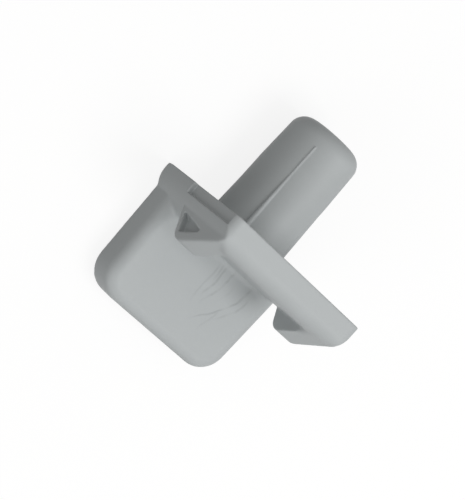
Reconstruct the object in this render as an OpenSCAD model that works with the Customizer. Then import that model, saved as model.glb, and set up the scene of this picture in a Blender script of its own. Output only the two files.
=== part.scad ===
// Shelf support pin: a round pin, a wall plate, a flat tab and two snap barbs, moulded in one piece.
// The origin is on the pin's axis in the wall face; +Y runs into the wall and +Z is up.

/* [Pin] */
// Diameter of the pin beside the wall plate
pin_d = 5; // [4:0.1:6]
// Length of the pin from the wall face to its tip
pin_len = 7.55; // [6:0.05:12]
// Straight length of the pin before its taper starts
pin_land = 4; // [2:0.1:4.4]
// Radius that the pin loses along its taper
pin_taper = 0.08; // [0.02:0.01:0.2]
// Radius of the rounded edge at the tip
pin_tip_r = 1; // [0.4:0.05:1.4]

/* [Crush ribs] */
// Angle of each rib from the upright plane through the pin
rib_angle = 42; // [20:1:70]
// Distance from a rib's far end to the rounding of the tip
rib_end_gap = 0.35; // [0.05:0.05:1.5]
// Radius of a rib at the wall plate
rib_root_r = 0.17; // [0.1:0.01:0.25]
// Radius of a rib at its far end
rib_end_r = 0.06; // [0.03:0.01:0.1]

/* [Wall plate] */
// Width of the wall plate
plate_w = 11.5; // [10.8:0.1:16]
// Height of the wall plate from the underside
plate_h = 9.55; // [8.5:0.05:14]
// Thickness of the wall plate
plate_t = 2.1; // [1.8:0.05:3]
// Radius of the plate's upper and lower front edges
plate_edge_r = 1.05; // [0.3:0.05:1.3]
// Radius of the plate's upright front edges
plate_end_r = 1.75; // [1:0.05:2]
// Radius of the plate's upper corners
plate_corner_r = 0.6; // [0.1:0.05:1]
// Height of the pin's lowest line above the underside
pin_lift = 0.05; // [0:0.05:1]

/* [Tab] */
// Length of the tab in front of the wall plate
tab_len = 6.1; // [4:0.1:12]
// Distance from the plate's end to the tab's side
tab_margin = 0.45; // [0.3:0.05:1.5]
// Draft of each side of the tab, in degrees
tab_draft = 2; // [0:0.1:4]
// Thickness of the tab
tab_t = 2.3; // [1.5:0.05:3]
// Radius of the tab's front corners, seen from above
tab_corner_r = 1.7; // [1:0.05:3]
// Radius of the tab's upper edge
tab_edge_r = 0.75; // [0.2:0.05:0.95]
// Radius of the fillet between the tab and the plate
root_fillet_r = 0.35; // [0.1:0.05:1]

/* [Barbs] */
// Width of each barb along the plate
barb_w = 1.6; // [1.3:0.05:2.5]
// Distance from the plate's end to a barb's outer face
barb_inset = 0.35; // [0.2:0.05:0.6]
// How far a barb's nose stands out from the plate
barb_reach = 1.1; // [1:0.05:1.5]
// Radius of a barb's nose
nose_r = 0.95; // [0.5:0.05:1]
// Clear height between the tab and a barb's underside at the plate
barb_gap = 2.1; // [1.2:0.05:2.4]
// Angle at which a barb's underside rises from the plate to the nose
hook_angle = 38; // [10:1:50]
// Drop from the plate's top to where a barb's slope crosses the plate's front face
barb_drop = 1.12; // [0.9:0.02:1.5]
// Radius of the edge between a barb's slope and the plate's top
barb_top_r = 0.9; // [0.5:0.05:1]
// Wall of a barb's hollow under its slope
slope_wall = 0.65; // [0.4:0.05:0.8]
// Wall of a barb's hollow above its underside
hook_wall = 0.3; // [0.2:0.05:0.5]
// How far a barb's hollow reaches behind the plate's front face at the slope
hollow_set = 0.1; // [0.05:0.05:0.4]
// Lean of the hollow's back from the upright, in degrees
hollow_lean = 8; // [0:1:12]
// Depth of a barb's hollow from its outer face
hollow_depth = 0.45; // [0.2:0.05:1.2]

/* [Plate ends] */
// Depth of the strip sunk into each end of the plate along the wall face
strip_depth = 0.3; // [0.05:0.05:0.4]
// Width of the strip from the wall face
strip_w = 0.74; // [0.3:0.02:0.9]
// Height of the strip's lower end above the tab
strip_rise = 1.45; // [0.5:0.05:2]
// Distance from the strip's upper end to the plate's top
strip_drop = 0.45; // [0.4:0.05:1]

/* [Hidden] */
$fn = 64;
// How far a cut runs past the face that it opens
overrun = 0.5;
// How far the fillet follows the plate's rounded ends, in degrees
fillet_turn = 12;
// Share of the plate's thickness that is left behind the roots of the pin, tab and barbs
root_depth_share = 0.3;
// Share of an arc's radius at which a straight line that touches the arc ends
lap_share = 0.998;

pin_r = pin_d / 2;
pin_end_r = pin_r - pin_taper;
pin_shoulder = pin_len - pin_tip_r;
rib_len = pin_shoulder - rib_end_gap;
// Share of the taper that a rib runs along, and the radius that the pin loses there
rib_end_share = max(0, rib_len - pin_land) / (pin_shoulder - pin_land);
rib_drop = pin_taper * rib_end_share;

underside = -pin_r - pin_lift;
plate_top = underside + plate_h;
tab_top = underside + tab_t;
// What is joined to the plate starts this far behind the wall face
root_depth = plate_t * root_depth_share;

tab_root_w = plate_w - 2 * tab_margin;
// Centre of the arc at the tab's right front corner
corner_y = tab_corner_r - plate_t - tab_len;
corner_x = tab_root_w / 2 - (tab_corner_r - (plate_t + corner_y) * sin(tab_draft)) / cos(tab_draft);
side_len = (-root_depth - corner_y) / cos(tab_draft);

// Arc of a barb's nose, which the underside and the slope both touch
hook_z = tab_top + barb_gap;
nose_out = barb_reach - nose_r;
nose = [-plate_t - nose_out, hook_z + nose_out * tan(hook_angle) + nose_r / cos(hook_angle)];
hook_normal = [-sin(hook_angle), -cos(hook_angle)];
hook_root_z = hook_z - (plate_t - root_depth) * tan(hook_angle);

// The slope crosses the plate's front face at its foot, and its angle is counted from the upright
foot_z = plate_top - barb_drop;
foot_rise = foot_z - nose.y;
slope_angle = asin(nose_r / norm([nose_out, foot_rise])) + atan(nose_out / foot_rise);
slope_normal = [-cos(slope_angle), sin(slope_angle)];

// Arc between the slope and the plate's top
crest_z = plate_top - barb_top_r;
crest = [(crest_z - foot_z) * tan(slope_angle) + barb_top_r / cos(slope_angle) - plate_t, crest_z];

// The hollow's walls follow the slope and the underside, and meet at its front corner
barb_outer_x = plate_w / 2 - barb_inset;
inner_foot_z = foot_z - slope_wall / sin(slope_angle);
inner_hook_z = hook_z + hook_wall / cos(hook_angle);
hollow_end = [hollow_set - plate_t, inner_foot_z + hollow_set / tan(slope_angle)];
// Where the hollow's leaning back meets its lower wall, counted from the plate's front face
hollow_heel = (hollow_set + (hollow_end.y - inner_hook_z) * tan(hollow_lean))
    / (1 - tan(hook_angle) * tan(hollow_lean));
hollow_tip = (inner_foot_z - inner_hook_z) / (1 / tan(slope_angle) + tan(hook_angle));

// Turns an outline drawn as Y and Z into a solid of width w that starts at X = 0
module along_x(w) rotate([90, 0, 90]) linear_extrude(w) children();

// Turns an outline drawn as X and Z into a solid that reaches from Y = -depth to 0
module along_y(depth) rotate([90, 0, 0]) linear_extrude(depth) children();

// Both the right-hand shape and its mirror image
module both_sides() {
    children();
    mirror([1, 0, 0]) children();
}

// Quarter of a disc, in the corner between +X and +Y
module quarter_disc(r) {
    intersection() {
        circle(r);
        square(r);
    }
}

// Rectangle w wide that stands on Y = 0, with its two upper corners rounded
module round_top(w, h, r) {
    translate([-w / 2, 0]) square([w, h - r]);
    translate([r - w / 2, 0]) square([w - 2 * r, h]);
    for (side = [-1, 1]) translate([side * (w / 2 - r), h - r]) circle(r);
}

// Half section of the pin: its seat in the plate, straight land, taper and rounded tip
module pin_section() {
    polygon([
        [0, -root_depth], [pin_r, -root_depth], [pin_r, pin_land],
        [pin_end_r, pin_shoulder], [0, pin_shoulder]
    ]);
    translate([0, pin_shoulder]) square([pin_end_r - pin_tip_r, pin_tip_r]);
    translate([pin_end_r - pin_tip_r, pin_shoulder]) quarter_disc(pin_tip_r);
}

// Tapered rib that lies half sunk along the top of the pin
module crush_rib() {
    lean = atan(rib_drop / rib_len);
    translate([0, 0, pin_r]) rotate([-90 - lean, 0, 0]) translate([0, 0, -root_depth])
        cylinder(h = rib_len + root_depth, r1 = rib_root_r, r2 = rib_end_r);
}

module pin() {
    rotate([-90, 0, 0]) rotate_extrude() pin_section();
    for (turn = [rib_angle, -rib_angle, 180 - rib_angle, 180 + rib_angle])
        rotate([0, turn, 0]) crush_rib();
}

// Profile of a barb as Y and Z: underside, round nose, slope and crest, with a root inside the plate
module barb_outline() {
    translate(nose) circle(nose_r);
    translate(crest) circle(barb_top_r);
    nose_lap_r = nose_r * lap_share;
    crest_lap_r = barb_top_r * lap_share;
    polygon([
        [-root_depth, hook_root_z], nose + nose_lap_r * hook_normal, nose + nose_lap_r * slope_normal,
        crest + crest_lap_r * slope_normal, [crest.x, plate_top], [-root_depth, plate_top]
    ]);
}

// Profile of a barb's hollow as Y and Z, a triangle in front of the web that continues the plate's end
module hollow_outline() {
    polygon([
        [-plate_t - hollow_tip, inner_hook_z + hollow_tip * tan(hook_angle)],
        hollow_end,
        [hollow_heel - plate_t, inner_hook_z - hollow_heel * tan(hook_angle)]
    ]);
}

// Right-hand barb, hollowed from its outer face
module barb() {
    difference() {
        translate([barb_outer_x - barb_w, 0, 0]) along_x(barb_w) barb_outline();
        translate([barb_outer_x - hollow_depth, 0, 0]) along_x(hollow_depth + overrun) hollow_outline();
    }
}

// Plate with its front edges rounded
module plate_blank() {
    intersection() {
        translate([0, 0, underside]) linear_extrude(plate_h) mirror([0, 1])
            round_top(plate_w, plate_t, plate_end_r);
        translate([-plate_w / 2, 0, underside + plate_h / 2]) along_x(plate_w) rotate(90)
            round_top(plate_h, plate_t, plate_edge_r);
    }
}

// Plate and barbs with the plate's upper corners rounded
module plate_body() {
    intersection() {
        translate([0, 0, underside]) along_y(plate_t + barb_reach + overrun)
            round_top(plate_w, plate_h, plate_corner_r);
        union() {
            plate_blank();
            both_sides() barb();
        }
    }
}

// Cut for the strip in the right-hand end of the plate
module end_strip() {
    strip_z = tab_top + strip_rise;
    translate([plate_w / 2 - strip_depth, -strip_w, strip_z])
        cube([strip_depth + overrun, strip_w + overrun, plate_top - strip_drop - strip_z]);
}

// Section across the tab's edge: w deep, with the upper outer corner rounded
module edge_section(w) {
    square([w - tab_edge_r, tab_t]);
    square([w, tab_t - tab_edge_r]);
    translate([w - tab_edge_r, tab_t - tab_edge_r]) quarter_disc(tab_edge_r);
}

// Right-hand side and front corner of the tab
module tab_side() {
    translate([corner_x, corner_y, underside]) {
        rotate([0, 0, -90]) rotate_extrude(angle = 90 - tab_draft) edge_section(tab_corner_r);
        rotate([0, 0, -tab_draft]) translate([0, side_len, 0]) rotate([90, 0, 0])
            linear_extrude(side_len) edge_section(tab_corner_r);
    }
}

// The tab's middle laps over its sides under their flat top
module tab() {
    both_sides() tab_side();
    translate([-corner_x, corner_y, underside]) along_x(2 * corner_x)
        mirror([1, 0]) edge_section(tab_corner_r);
    lap = (tab_corner_r - tab_edge_r) / 2;
    front_x = corner_x + lap;
    root_x = front_x + side_len * sin(tab_draft);
    translate([0, 0, underside]) linear_extrude(tab_t) polygon([
        [-root_x, -root_depth], [root_x, -root_depth], [front_x, corner_y], [-front_x, corner_y]
    ]);
}

// Section of the fillet between the tab's upper face and the plate, whose face is at X = 0
module fillet_section() {
    difference() {
        translate([-root_fillet_r, -root_fillet_r]) square(2 * root_fillet_r);
        translate([root_fillet_r, root_fillet_r]) circle(root_fillet_r);
    }
}

// Fillet along the plate's flat front and a little way around its rounded ends
module root_fillet() {
    flat_x = plate_w / 2 - plate_end_r;
    translate([-flat_x, -plate_t, tab_top]) along_x(2 * flat_x) mirror([1, 0]) fillet_section();
    both_sides() translate([flat_x, plate_end_r - plate_t, tab_top]) rotate([0, 0, -90])
        rotate_extrude(angle = fillet_turn) translate([plate_end_r, 0]) fillet_section();
}

module shelf_support() {
    color("gainsboro") {
        difference() {
            plate_body();
            both_sides() end_strip();
        }
        pin();
        tab();
        root_fillet();
    }
}

shelf_support();
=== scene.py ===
"""Looks, light and camera for the shelf support pin, a small moulding in light grey plastic."""

import math

import bmesh
import bpy
from mathutils import Euler, Matrix, Vector


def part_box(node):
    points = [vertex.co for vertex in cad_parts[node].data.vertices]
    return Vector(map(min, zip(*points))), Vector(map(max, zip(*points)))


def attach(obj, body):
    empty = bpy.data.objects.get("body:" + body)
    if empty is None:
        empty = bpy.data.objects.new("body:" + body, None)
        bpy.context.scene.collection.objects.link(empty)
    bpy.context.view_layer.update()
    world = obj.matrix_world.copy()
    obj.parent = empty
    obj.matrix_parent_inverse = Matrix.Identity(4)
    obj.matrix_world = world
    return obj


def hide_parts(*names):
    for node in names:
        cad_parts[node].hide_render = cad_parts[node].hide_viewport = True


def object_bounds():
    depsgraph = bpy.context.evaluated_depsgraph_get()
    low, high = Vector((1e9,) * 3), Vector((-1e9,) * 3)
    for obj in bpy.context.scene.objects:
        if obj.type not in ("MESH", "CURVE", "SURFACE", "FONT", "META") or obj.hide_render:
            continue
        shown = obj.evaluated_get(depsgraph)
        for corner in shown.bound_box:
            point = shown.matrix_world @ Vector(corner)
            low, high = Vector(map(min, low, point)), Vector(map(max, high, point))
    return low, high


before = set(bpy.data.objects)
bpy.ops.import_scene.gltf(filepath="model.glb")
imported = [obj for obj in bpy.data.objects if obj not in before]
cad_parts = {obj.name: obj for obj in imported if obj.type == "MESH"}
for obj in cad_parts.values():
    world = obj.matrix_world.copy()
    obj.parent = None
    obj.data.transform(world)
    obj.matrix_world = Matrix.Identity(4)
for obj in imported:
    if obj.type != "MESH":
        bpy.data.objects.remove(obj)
cad_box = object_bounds()

MM = 0.001
NODE = "shelf_support"
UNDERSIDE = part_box(NODE)[0].z

# Sizes of the solid in millimetres and degrees, as in its source
TAB_TOP = -0.25
PIN_R, PIN_END_R, PIN_LAND, PIN_SHOULDER, PIN_TIP_R = 2.5, 2.42, 4.0, 6.55, 1.0
RIB_ANGLE = 42

# Moulding: the solid's surface with every edge slightly rounded, as it leaves the mould

# Weld distance in metres, turn in radians, size of a voxel in millimetres, and number of triangles
WELD = 1e-7
ASKEW = (0.31, 0.47, 0.73)
VOXEL = 0.05
TRIANGLES = 185000

# Zones that are rounded less or more than the rest: two corners on the right-hand side, and a fade
STRIP = (5.2, -0.9, 0.9), (5.8, -0.2, 6.7), 0.2
BARB_ROOT = (3.4, -2.5, 5.2), (4.75, -1.3, 6.75), 0.35
BARB_RIM = (4.9, -3.4, 3.2), (5.8, -1.1, 7.0), 0.3
FILLET_END = (4.1, -2.5, -0.3), (4.9, -1.8, 0.2), 0.3
LOW_EDGE_H, LOW_EDGE_FADE = 0.3, 0.2

# Where a rib is kept sharp, along and around the pin, and the share of smoothing that sharp zones miss
RIB_START, RIB_END = 0.2, 6.4
RIB_HALF_ANGLE, RIB_FADE = 5, 4
SHARP_SHARE = 0.75


def in_box(point, low, high, fade):
    """1 inside a box, falling to 0 over a distance outside it."""
    gap = max(max(a - v, v - b, 0) for v, a, b in zip(point, low, high))
    return max(0, 1 - gap / fade)


def in_zone(point, zone):
    """1 inside a zone or its mirror image, falling to 0 over its fade."""
    x, y, z = point
    return in_box((abs(x), y, z), *zone)


def crisp(point):
    """Low on the crush ribs and in the strips of the plate's ends, which stay sharp, else 1."""
    x, y, z = point
    off_rib = abs(math.degrees(math.atan2(abs(x), abs(z))) - RIB_ANGLE)
    on_rib = in_box((off_rib,), (0,), (RIB_HALF_ANGLE,), RIB_FADE) if RIB_START < y < RIB_END else 0
    return 1 - SHARP_SHARE * max(on_rib, in_zone(point, STRIP))


def rooted(point):
    """1 where the barbs and the tab run into the plate, which are blended more, and 0 elsewhere."""
    return max(in_zone(point, BARB_ROOT), in_zone(point, FILLET_END))


def rimmed(point):
    """1 on the rims of the barbs' outer faces and the plate's upper corners, which are rounder."""
    return in_zone(point, BARB_RIM)


def lowest(point):
    """1 on the edge around the underside, which is rounded a little more, and 0 above it."""
    foot = UNDERSIDE / MM
    return in_box(point[2:], (foot,), (foot + LOW_EDGE_H,), LOW_EDGE_FADE)


# Passes of smoothing in their order, with the number of turns of each
PASSES = (crisp, 10), (rooted, 150), (rimmed, 50), (lowest, 60)

# Distance from the wall face, in millimetres, within which points of the pin stay
WALL_CLEAR = 0.1


def trued(point, slack=0.02):
    """A point of the pin's facets moved onto its cylinder, taper or rounded tip; other points stay."""
    x, y, z = point
    radius = math.hypot(x, z)
    if y < WALL_CLEAR or radius == 0:
        return point
    if y <= PIN_SHOULDER:
        wanted = PIN_R + (PIN_END_R - PIN_R) * max(0, y - PIN_LAND) / (PIN_SHOULDER - PIN_LAND)
    else:
        ring = PIN_END_R - PIN_TIP_R
        out, rise = radius - ring, y - PIN_SHOULDER
        reach = math.hypot(out, rise)
        if out <= 0 or abs(reach - PIN_TIP_R) > slack:
            return point
        y = PIN_SHOULDER + rise * PIN_TIP_R / reach
        wanted = ring + out * PIN_TIP_R / reach
    if abs(wanted - radius) > slack:
        return point
    return Vector((x * wanted / radius, y, z * wanted / radius))


def evaluated_mesh(holder):
    graph = bpy.context.evaluated_depsgraph_get()
    return bpy.data.meshes.new_from_object(holder.evaluated_get(graph))


def held(mesh, name):
    holder = bpy.data.objects.new(name, mesh)
    bpy.context.scene.collection.objects.link(holder)
    return holder


def moulded_copy(source, name):
    """A closed, evenly meshed copy of a CAD node, its edges rounded by 0.1 mm and more in the zones."""
    # Turned so that no face lies along the remesher's grid, which would leave steps in it
    askew = Euler(ASKEW).to_matrix().to_4x4()
    mesh = source.data.copy()
    welded = bmesh.new()
    welded.from_mesh(mesh)
    bmesh.ops.remove_doubles(welded, verts=welded.verts, dist=WELD)
    welded.to_mesh(mesh)
    welded.free()
    mesh.transform(askew @ Matrix.Scale(1 / MM, 4))
    solid = held(mesh, name + "_solid")
    rough = held(mesh.copy(), name + "_rough")
    remesh = rough.modifiers.new("even", "REMESH")
    remesh.mode = "VOXEL"
    remesh.voxel_size = VOXEL
    remesh.adaptivity = 0
    wrap = rough.modifiers.new("wrap", "SHRINKWRAP")
    wrap.target = solid
    wrap.wrap_method = "NEAREST_SURFACEPOINT"
    even = held(evaluated_mesh(rough), name + "_even")
    even.data.transform(askew.inverted())
    bpy.data.objects.remove(rough)
    bpy.data.objects.remove(solid)
    for vertex in even.data.vertices:
        vertex.co = trued(vertex.co)
    for rule, turns in PASSES:
        group = even.vertex_groups.new(name=rule.__name__)
        for vertex in even.data.vertices:
            weight = rule(vertex.co)
            if weight > 0:
                group.add([vertex.index], weight, "REPLACE")
        smooth = even.modifiers.new(rule.__name__, "SMOOTH")
        smooth.factor = 0.5
        smooth.iterations = turns
        smooth.vertex_group = group.name
    thin = even.modifiers.new("thin", "DECIMATE")
    thin.ratio = TRIANGLES / (2 * len(even.data.polygons))
    even.modifiers.new("flats", "WEIGHTED_NORMAL")
    even.data.polygons.foreach_set("use_smooth", [True] * len(even.data.polygons))
    made = evaluated_mesh(even)
    bpy.data.objects.remove(even)
    made.transform(Matrix.Scale(MM, 4))
    low, high = cad_box
    for vertex in made.vertices:
        vertex.co = [min(max(v, a), b) for v, a, b in zip(vertex.co, low, high)]
    made.name = name
    made.materials.clear()
    made.update()
    return held(made, name)


# Materials


class Nodes:
    """Short calls to add and link shader nodes."""

    def __init__(self, name):
        self.material = bpy.data.materials.new(name)
        self.material.use_nodes = True
        self.tree = self.material.node_tree
        self.shader = self.tree.nodes["Principled BSDF"]
        self.output = self.tree.nodes["Material Output"]

    def add(self, kind, **settings):
        """A new node; a setting named in_X goes to its socket X."""
        node = self.tree.nodes.new(kind)
        for key, value in settings.items():
            if key.startswith("in_"):
                node.inputs[key[3:]].default_value = value
            else:
                setattr(node, key, value)
        return node

    def link(self, start, end):
        self.tree.links.new(start, end)

    def math(self, operation, *values):
        node = self.add("ShaderNodeMath", operation=operation)
        for socket, value in zip(node.inputs, values):
            if isinstance(value, (int, float)):
                socket.default_value = value
            else:
                self.link(value, socket)
        return node.outputs[0]

    def ramp(self, value, low, high, to_low=0.0, to_high=1.0):
        node = self.add("ShaderNodeMapRange", clamp=True, interpolation_type="SMOOTHSTEP")
        for socket, number in zip(node.inputs[1:5], (low, high, to_low, to_high)):
            socket.default_value = number
        self.link(value, node.inputs[0])
        return node.outputs[0]


GREY = (0.418, 0.442, 0.45)
PLASTIC_IOR = 1.49

# Flow marks on the tab: X where a mark starts, its bend, Y of its back and front end, and its strength
FLOW_MARKS = (
    (0.2, 0.01, -2.5, -5.0, 0.7), (0.75, -0.01, -2.2, -4.4, 0.9), (1.4, -0.06, -2.2, -4.8, 1.0),
    (2.0, -0.1, -2.9, -3.8, 0.7), (3.15, -0.15, -2.3, -5.8, 1.0), (3.5, -0.19, -2.9, -5.0, 0.8),
    (0.5, 0.02, -2.2, -3.2, 0.8), (2.4, -0.12, -4.4, -6.1, 0.5),
)


def grey_plastic():
    """Satin light grey plastic with faint clouding, fine mould grain and thin flow marks on the tab."""
    n = Nodes("grey_plastic")
    place = n.add("ShaderNodeTexCoord")
    in_mm = n.add("ShaderNodeMapping", in_Scale=(1 / MM, 1 / MM, 1 / MM))
    n.link(place.outputs["Object"], in_mm.inputs["Vector"])
    point = in_mm.outputs["Vector"]
    axes = n.add("ShaderNodeSeparateXYZ")
    n.link(point, axes.inputs[0])

    def noise(scale, detail, rough=0.5):
        node = n.add("ShaderNodeTexNoise", in_Scale=scale, in_Detail=detail, in_Roughness=rough)
        n.link(point, node.inputs["Vector"])
        return node.outputs["Fac"]

    def spread(fac, low, high):
        """The middle of a noise's range, stretched from low to high."""
        return n.ramp(fac, 0.3, 0.7, low, high)

    clouds = noise(0.45, 3)
    grain = noise(9.0, 3, 0.6)
    specks = noise(26.0, 2)

    # Thin curved lines that run out from the plate where the plastic flowed into the tab
    x, y, z = (axes.outputs[name] for name in "XYZ")
    marks = None
    for start_x, bend, back, front, strength in FLOW_MARKS:
        run = n.math("SUBTRACT", y, back)
        aside = n.math("SUBTRACT", x, start_x)
        course = n.math("MULTIPLY_ADD", n.math("MULTIPLY", run, run), -bend, aside)
        wander = n.math("ADD", course, spread(clouds, -0.12, 0.12))
        line = n.ramp(n.math("ABSOLUTE", wander), 0.13, 0.02, 0, strength)
        fade_in = n.ramp(y, back + 0.2, back - 0.4)
        fade_out = n.ramp(y, front - 0.5, front + 0.7)
        line = n.math("MULTIPLY", line, n.math("MULTIPLY", fade_out, fade_in))
        marks = line if marks is None else n.math("MAXIMUM", marks, line)
    above = n.ramp(z, TAB_TOP - 0.2, TAB_TOP - 0.05)
    below = n.ramp(z, TAB_TOP + 0.5, TAB_TOP + 0.2)
    broken = n.math("MULTIPLY", marks, n.ramp(noise(1.4, 2), 0.35, 0.6, 0.3, 1))
    marks = n.math("MULTIPLY", broken, n.math("MULTIPLY", above, below))

    # Colour: one grey that clouds by a few per cent and darkens a little in the marks
    tone = n.math("ADD", spread(clouds, -0.02, 0.02), spread(specks, -0.012, 0.012))
    tone = n.math("SUBTRACT", n.math("ADD", tone, 1.0), n.math("MULTIPLY", marks, 0.17))
    colour = n.add("ShaderNodeVectorMath", operation="SCALE")
    colour.inputs[0].default_value = GREY
    n.link(tone, colour.inputs["Scale"])
    n.link(colour.outputs[0], n.shader.inputs["Base Color"])

    gloss = n.math("ADD", spread(clouds, 0.48, 0.56), spread(grain, -0.03, 0.03))
    n.link(gloss, n.shader.inputs["Roughness"])
    n.shader.inputs["IOR"].default_value = PLASTIC_IOR
    n.shader.inputs["Specular IOR Level"].default_value = 0.4

    height = n.math("ADD", n.math("MULTIPLY", grain, 0.6), n.math("MULTIPLY", specks, 0.25))
    height = n.math("SUBTRACT", height, n.math("MULTIPLY", marks, 0.8))
    bump = n.add("ShaderNodeBump", in_Strength=0.35, in_Distance=0.012 * MM)
    n.link(height, bump.inputs["Height"])
    n.link(bump.outputs["Normal"], n.shader.inputs["Normal"])
    return n.material


def seen_directly(tree):
    """1 for rays from the camera and for mirror or see-through rays, otherwise 0."""
    path = tree.nodes.new("ShaderNodeLightPath")
    first = tree.nodes.new("ShaderNodeMath")
    first.operation = "MAXIMUM"
    second = tree.nodes.new("ShaderNodeMath")
    second.operation = "MAXIMUM"
    tree.links.new(path.outputs["Is Camera Ray"], first.inputs[0])
    tree.links.new(path.outputs["Is Glossy Ray"], first.inputs[1])
    tree.links.new(first.outputs[0], second.inputs[0])
    tree.links.new(path.outputs["Is Transmission Ray"], second.inputs[1])
    return second.outputs[0]


FLOOR_BOUNCE = 0.12
FLOOR_GLOW = 0.85


def floor_material():
    """White to the eye with a soft shadow, and dark grey for the light that it throws back."""
    n = Nodes("floor_white")
    n.tree.nodes.remove(n.shader)
    dull = n.add("ShaderNodeBsdfDiffuse", in_Color=(FLOOR_BOUNCE, FLOOR_BOUNCE, FLOOR_BOUNCE, 1))
    pale = n.add("ShaderNodeBsdfDiffuse", in_Color=(1, 1, 1, 1))
    white = n.add("ShaderNodeEmission", in_Color=(1, 1, 1, 1), in_Strength=1.0)
    shown = n.add("ShaderNodeMixShader", in_Fac=FLOOR_GLOW)
    n.link(pale.outputs[0], shown.inputs[1])
    n.link(white.outputs[0], shown.inputs[2])
    both = n.add("ShaderNodeMixShader")
    n.link(seen_directly(n.tree), both.inputs["Fac"])
    n.link(dull.outputs[0], both.inputs[1])
    n.link(shown.outputs[0], both.inputs[2])
    n.link(both.outputs[0], n.output.inputs["Surface"])
    return n.material


# Object

body = moulded_copy(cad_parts[NODE], "moulding")
body.data.materials.append(grey_plastic())
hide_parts(NODE)
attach(body, "root")

# Floor, world and lamps

FLOOR_HALF = 1.0
FLOOR_GAP = 0.01 * MM
SKY_COLOUR = (1, 0.99, 0.97, 1)
SKY_LIGHT, SKY_SEEN = 0.54, 1.0

floor_mesh = bpy.data.meshes.new("floor")
corners = [(FLOOR_HALF * a, FLOOR_HALF * b, 0) for a, b in ((-1, -1), (1, -1), (1, 1), (-1, 1))]
floor_mesh.from_pydata(corners, [], [(0, 1, 2, 3)])
floor = bpy.data.objects.new("floor", floor_mesh)
floor.location.z = UNDERSIDE - FLOOR_GAP
floor.data.materials.append(floor_material())
bpy.context.scene.collection.objects.link(floor)

world = bpy.data.worlds.new("studio")
world.use_nodes = True
sky = world.node_tree.nodes["Background"]
sky.inputs["Color"].default_value = SKY_COLOUR
strength = world.node_tree.nodes.new("ShaderNodeMapRange")
strength.inputs["To Min"].default_value = SKY_LIGHT
strength.inputs["To Max"].default_value = SKY_SEEN
world.node_tree.links.new(seen_directly(world.node_tree), strength.inputs["Value"])
world.node_tree.links.new(strength.outputs[0], sky.inputs["Strength"])
bpy.context.scene.world = world


def soft_lamp(name, direction, distance, size, power):
    """A square lamp that faces the object from a direction."""
    lamp = bpy.data.lights.new(name, "AREA")
    lamp.size = size
    lamp.energy = power
    holder = bpy.data.objects.new(name, lamp)
    holder.location = Vector(direction).normalized() * distance
    holder.rotation_euler = Vector(direction).to_track_quat("Z", "Y").to_euler()
    bpy.context.scene.collection.objects.link(holder)


soft_lamp("key", direction=(0.42, -0.05, 0.9), distance=0.3, size=0.16, power=0.4)
soft_lamp("fill", direction=(-0.5, -0.8, 0.4), distance=0.3, size=0.2, power=0.18)

# Camera at the photograph's viewing angle, in a frame of 465 by 500 pixels

FRAME_W, FRAME_H = 465, 500
FOCAL_PX = 2053
SIDE_TURN, FORE_TURN, ROLL = (math.radians(a) for a in (33.53, 1.70, 41.75))
ORIGIN_PX = (247.8, 232.3)
PX_PER_MM = 17

to_camera = Vector((
    -math.cos(FORE_TURN) * math.sin(SIDE_TURN),
    -math.sin(FORE_TURN),
    math.cos(FORE_TURN) * math.cos(SIDE_TURN),
))
pin_up = Vector((
    -math.sin(FORE_TURN) * math.sin(SIDE_TURN),
    math.cos(FORE_TURN),
    math.sin(FORE_TURN) * math.cos(SIDE_TURN),
))
sideways = Vector((math.cos(SIDE_TURN), 0, math.sin(SIDE_TURN)))
right = math.cos(ROLL) * sideways + math.sin(ROLL) * pin_up
down = math.sin(ROLL) * sideways - math.cos(ROLL) * pin_up
distance = FOCAL_PX / PX_PER_MM * MM
shift_right = (ORIGIN_PX[0] - FRAME_W / 2) / FOCAL_PX * distance
shift_down = (ORIGIN_PX[1] - FRAME_H / 2) / FOCAL_PX * distance

camera = bpy.data.objects.new("camera", bpy.data.cameras.new("camera"))
camera.data.sensor_width = 36
camera.data.lens = FOCAL_PX / FRAME_H * camera.data.sensor_width
camera.data.clip_start = 0.005
camera.data.clip_end = 10
camera.matrix_world = (
    Matrix.Translation(to_camera * distance - right * shift_right - down * shift_down)
    @ Matrix((right, -down, to_camera)).transposed().to_4x4()
)
bpy.context.scene.collection.objects.link(camera)
bpy.context.scene.camera = camera
bpy.context.scene.view_settings.view_transform = "Standard"

bpy.context.view_layer.update()
